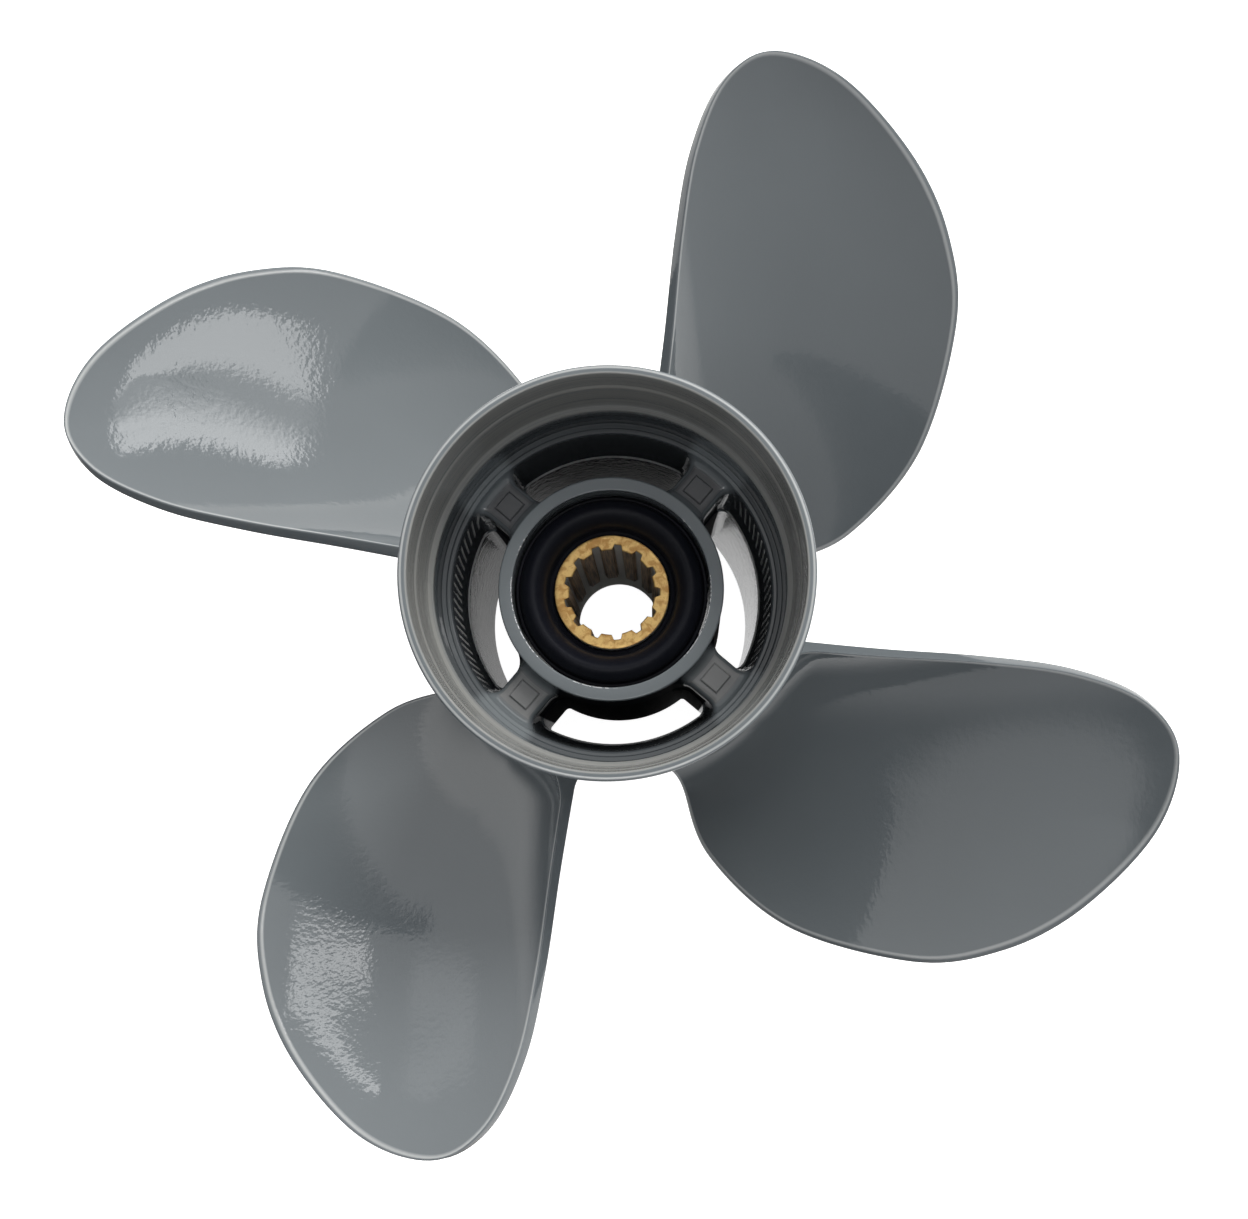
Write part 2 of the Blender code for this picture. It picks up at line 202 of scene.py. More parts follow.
# Camera in metres: its place, the way back from the propeller, and a guide to which way is up
CAMERA_PLACE = (0.009684, -0.040539, 0.406272)
CAMERA_BACK = (0.020818, -0.110639, 0.993643)
CAMERA_UP_GUIDE = (0.0, 0.993858, 0.110663)
CAMERA_LENS = 41.102
FLOOR_SIZE = 4.0
# Brightness of the floor and of the surroundings where the camera sees them directly
SEEN_WHITE = 0.98

# Name of the point attribute that marks the painted highlight, a thin bright line along a blade's edge
EDGE_HIGHLIGHT = "edge_highlight"


# ---- Mesh helpers --------------------------------------------------------------------------

def mesh_object(name, points, faces, sharp_angle=35.0, edge_highlight=None):
    """Closed mesh from points in millimetres, facing outwards and shaded smooth."""
    mesh = bpy.data.meshes.new(name)
    mesh.from_pydata((np.asarray(points, float) * MM).tolist(), [], faces)
    # Point attribute for the painted highlight line along the blade edges
    line = mesh.attributes.new(EDGE_HIGHLIGHT, "FLOAT", "POINT")
    if edge_highlight is not None:
        line.data.foreach_set("value", np.asarray(edge_highlight, np.float32))
    shape = bmesh.new()
    shape.from_mesh(mesh)
    bmesh.ops.recalc_face_normals(shape, faces=shape.faces)
    shape.to_mesh(mesh)
    shape.free()
    mesh.shade_smooth()
    mesh.set_sharp_from_angle(angle=math.radians(sharp_angle))
    item = bpy.data.objects.new(name, mesh)
    bpy.context.scene.collection.objects.link(item)
    return item


def strip_faces(first, second):
    """Quads between two equal runs of vertex numbers."""
    return [(a, b, d, c) for a, b, c, d in zip(first, first[1:], second, second[1:])]


def softened(profile, arc_steps=4):
    """Closed profile of radius, height and corner rounding, with each corner turned into an arc."""
    points = []
    count = len(profile)
    for index, (radius, height, rounding) in enumerate(profile):
        corner = Vector((radius, height))
        before = Vector(profile[index - 1][:2]) - corner
        after = Vector(profile[(index + 1) % count][:2]) - corner
        reach = min(rounding, before.length * 0.45, after.length * 0.45)
        start = corner + before.normalized() * reach
        end = corner + after.normalized() * reach
        for step in range(arc_steps + 1):
            t = step / arc_steps
            points.append(start * (1 - t) ** 2 + corner * 2 * t * (1 - t) + end * t ** 2)
    return [(point.x, point.y) for point in points]


def split_long(profile, longest=3.0):
    """The same closed profile with extra points on its long straight runs."""
    points = []
    for (r0, z0), (r1, z1) in zip(profile, profile[1:] + profile[:1]):
        pieces = max(1, math.ceil(math.hypot(r1 - r0, z1 - z0) / longest))
        for step in range(pieces):
            points.append((r0 + (r1 - r0) * step / pieces, z0 + (z1 - z0) * step / pieces))
    return points


def turned(name, profile, steps=TURNED_STEPS):
    """Solid of revolution about the axis from a closed profile."""
    rings = split_long(softened(profile))
    points = []
    for radius, height in rings:
        for step in range(steps):
            angle = 2 * math.pi * step / steps
            points.append((radius * math.cos(angle), radius * math.sin(angle), height))
    faces = []
    for ring in range(len(rings)):
        here = [ring * steps + step % steps for step in range(steps + 1)]
        following = (ring + 1) % len(rings)
        there = [following * steps + step % steps for step in range(steps + 1)]
        faces += strip_faces(here, there)
    return mesh_object(name, points, faces)


def about_axis(points, turn):
    spin = np.array(Matrix.Rotation(turn, 3, "Z"))
    return np.asarray(points, float) @ spin.T


def fillet(distance, size):
    """Height of a concave quarter-round at a distance from the wall it meets."""
    inward = np.clip(size - np.asarray(distance, float), 0.0, size)
    return size - np.sqrt(size * size - inward * inward)


def wall_radius(profile, height):
    """Radius of a profile at a height, straight between its corners."""
    rows = sorted((z, r) for r, z, rounding in profile)
    return np.interp(height, [z for z, r in rows], [r for z, r in rows])


# ---- Blades --------------------------------------------------------------------------------

def catmull_rom(a, b, c, d, t):
    return 0.5 * (2 * b + (c - a) * t + (2 * a - 5 * b + 4 * c - d) * t ** 2
                  + (3 * b - a - 3 * c + d) * t ** 3)


def smooth_path(corners, steps=32):
    """Smooth flat path through corners given as radius and angle in degrees."""
    flat = [np.array([r * math.cos(math.radians(a)), r * math.sin(math.radians(a))]) for r, a in corners]
    padded = [2 * flat[0] - flat[1]] + flat + [2 * flat[-1] - flat[-2]]
    path = []
    for span in range(len(flat) - 1):
        for step in range(steps):
            path.append(catmull_rom(*padded[span:span + 4], step / steps))
    path.append(flat[-1])
    return np.array(path)


def at_shares(path, shares):
    lengths = np.concatenate([[0.0], np.cumsum(np.linalg.norm(np.diff(path, axis=0), axis=1))])
    wanted = np.asarray(shares) * lengths[-1]
    return np.stack([np.interp(wanted, lengths, path[:, axis]) for axis in (0, 1)], axis=1)


def blade_outline():
    """Points from the leading edge's root round the tip to the trailing edge's root."""
    steps = 32
    path = smooth_path(LEADING_EDGE + (TIP_POINT,) + TRAILING_EDGE, steps)
    tip = len(LEADING_EDGE) * steps
    shares = (np.arange(BLADE_STEPS + 1) / BLADE_STEPS) ** STEP_CROWDING
    leading = at_shares(path[:tip + 1], shares)
    trailing = at_shares(path[tip:][::-1], shares)
    return np.concatenate([leading, trailing[::-1][1:]])


def polar_of(flat):
    return np.stack([np.hypot(flat[..., 0], flat[..., 1]), np.arctan2(flat[..., 1], flat[..., 0])], axis=-1)


def flat_of(polar):
    return np.stack([polar[..., 0] * np.cos(polar[..., 1]), polar[..., 0] * np.sin(polar[..., 1])], axis=-1)


def blade_height(radius, angle):
    out = radius - REFERENCE_RADIUS
    return (REFERENCE_HEIGHT + LEAD_PER_RADIAN * (angle - REFERENCE_ANGLE)
            + RAKE_SLOPE * out + RAKE_CURVE * out * out)


def blade_lifts(radius, angle, share, trailing):
    """Lift of the aft and of the forward face off the reference screw surface."""
    height = blade_height(radius, angle)
    outwards = (radius - BLADE_ROOT) / (TIP_RADIUS - BLADE_ROOT)
    middle = ROOT_THICKNESS + (TIP_THICKNESS - ROOT_THICKNESS) * outwards
    edge = LEADING_THICKNESS + (TRAILING_THICKNESS - LEADING_THICKNESS) * trailing
    thickness = edge + (middle - edge) * (1 - (1 - share) ** 2)
    cup = edge * (0.4 + 0.6 * trailing) * (1 - share) ** 4
    away = radius - (wall_radius(BARREL_OUTSIDE, height) - 0.12)
    fade = np.clip(height / FORWARD_FILLET_FADE, 0.0, 1.0)
    aft = cup + fillet(away, AFT_FILLET)
    forward = cup - thickness - fade * fillet(away, FORWARD_FILLET)
    return aft, forward


def lifted(polar, lift):
    """Points at a lift off the reference surface, measured along the section's cylinder."""
    radius = polar[:, 0]
    angle = polar[:, 1]
    steepness = np.arctan2(LEAD_PER_RADIAN, radius)
    shifted = angle - lift * np.sin(steepness) / radius
    height = blade_height(radius, angle) + lift * np.cos(steepness)
    return np.stack([radius * np.cos(shifted), radius * np.sin(shifted), height], axis=1)


def inset_points(outline, distance):
    """Outline moved inwards: square to itself, but along its cylinder near the root."""
    tangent = np.gradient(outline, axis=0)
    tangent /= np.linalg.norm(tangent, axis=1)[:, None]
    inward = np.stack([-tangent[:, 1], tangent[:, 0]], axis=1)
    polar = polar_of(outline)
    around = np.stack([-np.sin(polar[:, 1]), np.cos(polar[:, 1])], axis=1)
    along_turn = np.sum(inward * around, axis=1)
    slope = LEAD_PER_RADIAN / polar[:, 0]
    stretch = np.sqrt(1 + (slope * along_turn) ** 2)
    square = outline + inward * (distance / stretch)[:, None]
    step_angle = np.sign(along_turn) * distance / stretch / polar[:, 0]
    level = flat_of(np.stack([polar[:, 0], polar[:, 1] + step_angle], axis=1))
    near_root = np.interp(polar[:, 0], ROOT_BLEND, (1.0, 0.0))[:, None]
    return square * (1 - near_root) + level * near_root


def section_rows(width, fall, trailing):
    """Rows of a face from its edge inwards: distance from the edge, share of the way to the spine, drop."""
    rows = []
    for leading, blunt in zip(LEADING_SECTION, TRAILING_SECTION):
        across = leading[0] * (1 - trailing) + blunt[0] * trailing
        down = leading[1] * (1 - trailing) + blunt[1] * trailing
        rows.append((width * across, 0.0, fall * down))
    level = 0.0 * width
    rows += [(BEVEL_REACH * width + inset, 0.0, level) for inset in EDGE_INSETS]
    rows += [(BEVEL_REACH * width + EDGE_INSETS[-1], share, level) for share in SPINE_SHARES]
    return rows


def blade_mesh():
    """Points, faces and painted-highlight marks of a blade: two faces, each a grid from outline to spine.
    """
    outline = blade_outline()
    last = len(outline) - 1
    polar = polar_of(outline)
    numbers = np.arange(last + 1)
    trailing = np.clip((numbers / last - TRAILING_STARTS) / (TRAILING_ENDS - TRAILING_STARTS), 0.0, 1.0)
    along = np.minimum(numbers, last - numbers)
    shares = (np.arange(BLADE_STEPS + 1) / BLADE_STEPS) ** STEP_CROWDING
    middle_angle = (polar[0, 1] + polar[-1, 1]) / 2
    spine = np.stack([BLADE_ROOT + (SPINE_TIP[0] - BLADE_ROOT) * shares,
                      middle_angle + (math.radians(SPINE_TIP[1]) - middle_angle) * shares], axis=1)
    target = flat_of(spine)[along]
    reach = np.linalg.norm(target - outline, axis=1)

    edge_aft, edge_forward = blade_lifts(polar[:, 0], polar[:, 1], 0.0 * reach, trailing)
    depth = edge_aft - edge_forward
    width = LEADING_BEVEL * (1 - trailing) + TRAILING_ROUNDING * trailing
    bevel_fall = np.minimum(0.49 * depth, BEVEL_FALL)
    fall = bevel_fall * (1 - trailing) + TRAILING_ROUNDING * trailing

    points = []
    marks = []
    grids = []
    count = 0
    for side, sign in ((0, -1.0), (1, 1.0)):
        middle = blade_lifts(spine[:, 0], spine[:, 1], np.ones(len(spine)), 0.5)[side]
        points.append(lifted(spine, middle))
        marks.append(np.zeros(len(spine)))
        spine_numbers = count + along
        count += len(spine)
        grid = []
        for row, (distance, share, drop) in enumerate(section_rows(width, fall, trailing)):
            marks.append(np.full(last + 1, 1.0 if row in HIGHLIGHT_ROWS else 0.0))
            here = polar_of(inset_points(outline, distance))
            here = here + (spine[along] - here) * share
            travelled = np.linalg.norm(flat_of(here) - outline, axis=1) / reach
            lift = blade_lifts(here[:, 0], here[:, 1], np.clip(travelled, 0.0, 1.0), trailing)[side]
            points.append(lifted(here, lift + sign * drop))
            grid.append(count + numbers)
            count += last + 1
        grids.append(grid + [spine_numbers])

    faces = []
    for grid in grids:
        for outer, inner in zip(grid, grid[1:]):
            faces += strip_faces(list(outer), list(inner))
    faces += strip_faces(list(grids[0][0]), list(grids[1][0]))
    for end in (0, last):
        faces += strip_faces([row[end] for row in grids[0]], [row[end] for row in grids[1]])
    faces = [tuple(int(number) for number in face) for face in faces]
    return np.concatenate(points), faces, np.concatenate(marks)


# ---- Ribs ----------------------------------------------------------------------------------

def rib_mesh():
    """Rib lofted outwards through stations on cylinders; it flares where it meets each tube."""
    stations = np.linspace(*RIB_ENDS, RIB_STATIONS)
    arc = [math.pi / 2 * step / 5 for step in range(6)]
    below_mouth = list(np.linspace(RIB_FRONT, PASSAGE_MOUTH - 0.1, 6))
    points = []
    for station in stations:
        top = RIB_FACE + fillet(station - RIB_FILLET_RADII[0], RIB_HUB_FILLET)
        top += fillet(RIB_FILLET_RADII[1] - station, RIB_BARREL_FILLET)
        side = [(height, -MOUTH_LEDGE) for height in below_mouth]
        for height in np.linspace(PASSAGE_MOUTH + 0.2, top - RIB_EDGE_ROUNDING, 5)[:-1]:
            side.append((height, 0.0))
        for angle in arc:
            side.append((top - RIB_EDGE_ROUNDING * (1 - math.sin(angle)),
                         RIB_EDGE_ROUNDING * (1 - math.cos(angle))))
        section = []
        for height, inset in side:
            inner = wall_radius(HUB_OUTSIDE, height)
            outer = wall_radius(BARREL_INSIDE, height)
            up = min(max((height - RIB_FRONT) / (PASSAGE_MOUTH - RIB_FRONT), 0.0), 1.0)
            size = RIB_FRONT_FILLET + (RIB_SIDE_FILLET - RIB_FRONT_FILLET) * up
            width = RIB_HALF_WIDTH - inset
            width += float(fillet(station - inner + 0.05, size))
            width += float(fillet(outer - station + 0.05, size))
            section.append((-width, height))
        across = section[-1][0]
        flat = [(across * (1 - 2 * step / 6), section[-1][1]) for step in range(1, 6)]
        section += flat + [(-lateral, height) for lateral, height in section[::-1]]
        for lateral, height in section:
            points.append((math.sqrt(station ** 2 - lateral ** 2), lateral, height))
    size = len(points) // len(stations)
    faces = [tuple(range(size)), tuple(range(len(points) - size, len(points)))]
    for index in range(len(stations) - 1):
        here = [index * size + step % size for step in range(size + 1)]
        faces += strip_faces(here, [number + size for number in here])
    return np.array(points), faces


def pad_mesh():
    """Low square pad left by the casting's ejector on each rib."""
    top = RIB_FACE + PAD_HEIGHT
    levels = ((0.0, RIB_FACE - 2.0), (0.0, top - PAD_SLOPE), (PAD_SLOPE, top))
    points = []
    for inset, height in levels:
        low = PAD_RADII[0] + inset
        high = PAD_RADII[1] - inset
        half = PAD_HALF_WIDTH - inset
        points += [(low, -half, height), (high, -half, height), (high, half, height), (low, half, height)]
    faces = [(0, 1, 2, 3), (8, 9, 10, 11)]
    for level in (0, 4):
        here = [level + step % 4 for step in range(5)]
        faces += strip_faces(here, [number + 4 for number in here])
    return points, faces


# ---- Casting -------------------------------------------------------------------------------

def unite(base, shapes):
    """Merge closed shapes into the base and apply the result, so one clean skin is left."""
    for shape in shapes:
        modifier = base.modifiers.new("join", "BOOLEAN")
        modifier.operation = "UNION"
        modifier.solver = "MANIFOLD"
        modifier.object = shape
    bpy.context.view_layer.update()
    evaluated = base.evaluated_get(bpy.context.evaluated_depsgraph_get())
    joined = bpy.data.meshes.new_from_object(evaluated)
    base.modifiers.clear()
    base.data = joined
    for shape in shapes:
        bpy.data.objects.remove(shape, do_unlink=True)
    joined.shade_smooth()
    joined.set_sharp_from_angle(angle=math.radians(38.0))


def make_casting():
    casting = turned("propeller_casting", BARREL_OUTSIDE + BARREL_INSIDE)
    shapes = [turned("hub_tube", HUB_OUTSIDE + HUB_INSIDE)]
    rib_points, rib_faces = rib_mesh()
    pad_points, pad_faces = pad_mesh()
    for index in range(RIB_COUNT):
        turn = math.radians(RIB_ANGLE + 360.0 / RIB_COUNT * index)
        shapes.append(mesh_object("rib", about_axis(rib_points, turn), rib_faces))
        shapes.append(mesh_object("pad", about_axis(pad_points, turn), pad_faces))
    blade_points, blade_faces, blade_highlight = blade_mesh()
    for index in range(BLADE_COUNT):
        turn = 2 * math.pi * index / BLADE_COUNT
        shapes.append(mesh_object("blade", about_axis(blade_points, turn), blade_faces, 35.0, blade_highlight))
    unite(casting, shapes)
    return casting


# ---- Rubber and brass ----------------------------------------------------------------------

def make_rubber():
    return turned("rubber_cushion", RUBBER_PROFILE)


def spline_ring(height, grow):
    """Bore outline at a height: a groove and a land for each tooth, with eased corners."""
    pitch = 2 * math.pi / SPLINE_TEETH
    shape = list(GROOVE_WALL)
    shape += [(share, 1.0) for share in (-0.07, 0.0, 0.07)]
    shape += [(-share, depth) for share, depth in reversed(GROOVE_WALL)]
    shape += [(share, 0.0) for share in (0.34, 0.42, 0.5, 0.58, 0.66)]
    points = []
    for tooth in range(SPLINE_TEETH):
        for share, depth in shape:
            angle = pitch * (tooth + share)
            radius = SPLINE_MINOR + (SPLINE_MAJOR - SPLINE_MINOR) * depth + grow
            points.append((radius * math.cos(angle), radius * math.sin(angle), height))
    return points


def plain_ring(radius, height):
    """Ring with the same angles as the splined rings."""
    points = []
    for x, y, z in spline_ring(0.0, 0.0):
        length = math.hypot(x, y)
        points.append((x / length * radius, y / length * radius, height))
    return points


def make_sleeve():
    chamfer = 0.4
    rings = [plain_ring(FRONT_BORE + 0.5, SLEEVE_FRONT), plain_ring(SLEEVE_RADIUS - chamfer, SLEEVE_FRONT),
             plain_ring(SLEEVE_RADIUS, SLEEVE_FRONT + chamfer)]
    rings += [plain_ring(SLEEVE_RADIUS, height) for height in np.linspace(15.0, 75.0, 7)]
    rings += [plain_ring(SLEEVE_RADIUS, SLEEVE_AFT - chamfer),
              plain_ring(SLEEVE_RADIUS - 0.12, SLEEVE_AFT - 0.12),
              plain_ring(SLEEVE_RADIUS - chamfer, SLEEVE_AFT),
              plain_ring(SLEEVE_RADIUS - 1.1, SLEEVE_AFT), spline_ring(SLEEVE_AFT, 0.28),
              spline_ring(SLEEVE_AFT - 0.1, 0.12), spline_ring(SLEEVE_AFT - 0.3, 0.0)]
    rings += [spline_ring(height, 0.0) for height in np.linspace(SLEEVE_AFT - 6.0, SPLINE_END + 0.6, 7)]
    rings += [spline_ring(SPLINE_END, 0.1), plain_ring(FRONT_BORE + 0.02, SPLINE_END - 0.4),
              plain_ring(FRONT_BORE, 20.0), plain_ring(FRONT_BORE, SLEEVE_FRONT + 0.5)]
    size = len(rings[0])
    points = [point for ring in rings for point in ring]
    faces = []
    for index in range(len(rings)):
        following = (index + 1) % len(rings)
        here = [index * size + step % size for step in range(size + 1)]
        there = [following * size + step % size for step in range(size + 1)]
        faces += strip_faces(here, there)
    return mesh_object("brass_sleeve", points, faces, 25.0)


# ---- Materials -----------------------------------------------------------------------------

class Nodes:
    """Small helper that builds a node tree out of plain sums."""

    def __init__(self, tree):
        self.tree = tree

    def add(self, kind, **settings):
        node = self.tree.nodes.new(kind)
        for key, value in settings.items():
            setattr(node, key, value)
        return node

    def feed(self, socket, value):
        if isinstance(value, bpy.types.NodeSocket):
            self.tree.links.new(value, socket)
        else:
            socket.default_value = value

    def math(self, operation, *values):
        node = self.add("ShaderNodeMath", operation=operation)
        for socket, value in zip(node.inputs, values):
            self.feed(socket, value)
        return node.outputs[0]

    def ramp(self, value, low, high):
        """0 at low and below, 1 at high and above, eased between."""
        node = self.add("ShaderNodeMapRange", interpolation_type="SMOOTHSTEP")
        for name, number in (("Value", value), ("From Min", low), ("From Max", high)):
            self.feed(node.inputs[name], number)
        return node.outputs["Result"]

    def band(self, value, low, high, soft, soft_high=None):
        """1 between low and high, fading to 0 over soft on either side."""
        if soft_high is None:
            soft_high = soft
        return self.math("MULTIPLY", self.ramp(value, low - soft, low + soft),
                         self.ramp(value, high + soft_high, high - soft_high))

    def product(self, *values):
        result = values[0]
        for value in values[1:]:
            result = self.math("MULTIPLY", result, value)
        return result

    def total(self, *values):
        result = values[0]
        for value in values[1:]:
            result = self.math("ADD", result, value)
        return result

    def mix(self, share, first, second):
        node = self.add("ShaderNodeMix", data_type="RGBA")
        self.feed(node.inputs["Factor"], share)
        for socket, colour in ((node.inputs[6], first), (node.inputs[7], second)):
            self.feed(socket, colour if isinstance(colour, bpy.types.NodeSocket) else (*colour, 1.0))
        return node.outputs[2]

    def noise(self, vector, scale, detail=2.0, distortion=0.0, roughness=0.5):
        node = self.add("ShaderNodeTexNoise")
        self.feed(node.inputs["Vector"], vector)
        node.inputs["Scale"].default_value = scale
        node.inputs["Detail"].default_value = detail
        node.inputs["Roughness"].default_value = roughness
        node.inputs["Distortion"].default_value = distortion
        return node.outputs["Fac"]

    def bump(self, height, distance, normal=None, strength=1.0):
        node = self.add("ShaderNodeBump")
        node.inputs["Distance"].default_value = distance
        node.inputs["Strength"].default_value = strength
        self.feed(node.inputs["Height"], height)
        if normal is not None:
            self.feed(node.inputs["Normal"], normal)
        return node.outputs["Normal"]


def new_material(name):
    """Material with its node helper, its shader, and the place on the piece in millimetres."""
    material = bpy.data.materials.new(name)
    material.use_nodes = True
    nodes = Nodes(material.node_tree)
    shader = material.node_tree.nodes["Principled BSDF"]
    place = nodes.add("ShaderNodeVectorMath", operation="SCALE")
    nodes.feed(place.inputs[0], nodes.add("ShaderNodeTexCoord").outputs["Object"])
    place.inputs["Scale"].default_value = 1 / MM
    split = nodes.add("ShaderNodeSeparateXYZ")
    nodes.feed(split.inputs[0], place.outputs[0])
    x, y, z = split.outputs
    radius = nodes.math("SQRT", nodes.total(nodes.product(x, x), nodes.product(y, y)))
    turn = nodes.math("ARCTAN2", y, x)
    return material, nodes, shader, place.outputs[0], radius, turn, z


def round_place(nodes, radius, turn, z, across=1.0, along=1.0):
    """Place unrolled round the axis: arc length, height and radius, for marks that follow a tool."""
    node = nodes.add("ShaderNodeCombineXYZ")
    nodes.feed(node.inputs[0], nodes.product(turn, 40.0 * across))
    nodes.feed(node.inputs[1], nodes.product(z, along))
    nodes.feed(node.inputs[2], radius)
    return node.outputs[0]


PAINT_COLOUR = (0.082, 0.093, 0.101)
MACHINED_COLOUR = (0.168, 0.171, 0.167)
# Rib tops: painted light on the lower ribs and painted shade on the upper ribs, as lit and shaded copies of
# one paint
LIT_RIB_COLOUR = (0.125, 0.128, 0.13)
SHADED_RIB_COLOUR = (0.05, 0.052, 0.056)
# Colour of the painted highlights
HIGHLIGHT_COLOUR = (0.42, 0.43, 0.43)
# Painted shade: a near-black colour put into the recesses where shade falls
SHADE_COLOUR = (0.005, 0.006, 0.008)
BARE_COLOUR = (0.55, 0.56, 0.57)
RUBBER_COLOURS = ((0.003, 0.0035, 0.006), (0.006, 0.0065, 0.009))
BRASS_COLOUR = (0.62, 0.42, 0.16)
BRASS_STAIN_COLOUR = (0.40, 0.22, 0.07)
BRASS_SPECKLE_COLOUR = (0.34, 0.18, 0.06)
LAND_COLOURS = ((0.15, 0.12, 0.09), (0.38, 0.28, 0.19))
GROOVE_COLOUR = (0.48, 0.48, 0.46)

# Ring-shaped zones of the casting. The three pairs are the radii over which the zone fades in, the
# radii over which it fades out, and the heights over which it fades in.
MACHINED_ZONE = ((36.0, 38.0), (41.9, 41.5), (91.0, 94.5))
RIB_TOP_ZONE = ((26.2, 28.5), (36.0, 34.6), (RIB_FACE - 0.5, RIB_FACE - 0.1))
# The next two zones mark where shade is painted: between the tubes and on the deep barrel wall
BETWEEN_TUBES_ZONE = ((24.6, 25.0), (33.4, 33.0), (76.0, 70.0))
DEEP_WALL_SHADE_ZONE = ((33.6, 34.6), (39.6, 39.2), (93.5, 88.0))
PASSAGE_ZONE = ((24.5, 26.2), (37.2, 36.2), (69.0, 64.0))

# Tool marks beside the two side passages
CHATTER_RADIUS = 36.0
CHATTER_HEIGHTS = (71.0, 78.5)
CHATTER_PITCH = 2.1
CHATTER_SLANT = 0.25


def zone(nodes, radius, z, inner, outer, heights):
    """1 inside a ring-shaped zone about the axis, fading to 0 over each of its three limits."""
    return nodes.product(nodes.ramp(radius, *outer), nodes.ramp(radius, *inner), nodes.ramp(z, *heights))


def chatter(nodes, turn, radius, z):
    """Short slanted dents that a tool left beside the two side passages; the same mask also carries a
    painted highlight.
    """
    beside = nodes.ramp(nodes.math("ABSOLUTE", nodes.math("SINE", turn)), 0.66, 0.5)
    side = nodes.math("SIGN", nodes.math("COSINE", turn))
    slanted = nodes.total(nodes.product(turn, CHATTER_RADIUS), nodes.product(z, side, -CHATTER_SLANT))
    wave = nodes.math("SINE", nodes.product(slanted, 2 * math.pi / CHATTER_PITCH))
    dash = nodes.product(nodes.ramp(wave, 0.2, 0.9), nodes.band(z, *CHATTER_HEIGHTS, 1.0), beside)
    return nodes.product(dash, nodes.ramp(radius, 33.0, 34.0), nodes.ramp(radius, 38.5, 37.5))


def painted_shade_zone(nodes, radius, z, between_ribs):
    """Where shade is painted: round the outside of the hub tube and down between the two tubes."""
    around_hub = nodes.product(nodes.band(radius, 24.9, 27.0, 0.3),
                               nodes.ramp(z, HUB_AFT - 1.1, HUB_AFT - 1.5))
    clear_of_ribs = nodes.math("MAXIMUM", between_ribs, nodes.ramp(z, RIB_FACE, RIB_FACE - 1.0))
    in_depth = zone(nodes, radius, z, *BETWEEN_TUBES_ZONE)
    return nodes.math("MINIMUM", nodes.total(nodes.product(around_hub, clear_of_ribs), in_depth), 1.0)


def painted_highlights(nodes, radius, z, between_ribs):
    """Painted highlights: thin bright lines along the blades' edges, round the rim's lip and round the
    passages' mouths.
    """
    edge = nodes.add("ShaderNodeAttribute", attribute_name=EDGE_HIGHLIGHT).outputs["Fac"]
    lip = nodes.product(nodes.band(radius, RIM_RADIUS - 0.9, RIM_RADIUS - 0.45, 0.15),
                        nodes.ramp(z, BARREL_LENGTH - 0.9, BARREL_LENGTH - 0.5))
    mouth = nodes.product(nodes.band(radius, 34.75, 35.2, 0.1),
                          nodes.band(z, PASSAGE_MOUTH - 0.3, PASSAGE_MOUTH + 0.6, 0.1), between_ribs)
    return nodes.total(nodes.product(edge, 0.38), nodes.product(lip, 0.45), nodes.product(mouth, 0.6))


def chipped_edge(nodes, place, radius, z):
    """Where the paint has chipped off the edge of the hub tube's bore, down to bare metal."""
    areas = nodes.ramp(nodes.noise(place, 0.07, 1.0), 0.42, 0.6)
    chips = nodes.ramp(nodes.product(nodes.noise(place, 1.3, 3.0), areas), 0.40, 0.5)
    edge = nodes.product(nodes.band(radius, HUB_BORE - 0.2, HUB_BORE + 0.28, 0.06),
                         nodes.ramp(z, HUB_AFT - 0.9, HUB_AFT - 0.5),
                         nodes.ramp(z, HUB_AFT + 0.6, HUB_AFT + 0.3))
    return nodes.product(edge, chips)


def paint_normal(nodes, place, radius, z, machined, turning, dents):
    """Orange peel outside, turning marks where machined, crinkled skin in the passages, and dents."""
    outside = nodes.ramp(machined, 0.5, 0.0)
    peel = nodes.total(nodes.noise(place, 0.7, 1.0), nodes.product(nodes.noise(place, 1.6, 1.0), 0.35))
    normal = nodes.bump(nodes.product(peel, outside), 0.022 * MM)
    normal = nodes.bump(nodes.product(turning, machined), 0.03 * MM, normal)
    in_passage = zone(nodes, radius, z, *PASSAGE_ZONE)
    skin = nodes.total(nodes.noise(place, 0.45, 4.0, 0.8), nodes.product(nodes.noise(place, 1.6, 2.0), 0.3))
    normal = nodes.bump(nodes.product(skin, in_passage), 0.22 * MM, normal)
    return nodes.bump(nodes.math("SUBTRACT", 1.0, dents), 0.14 * MM, normal)


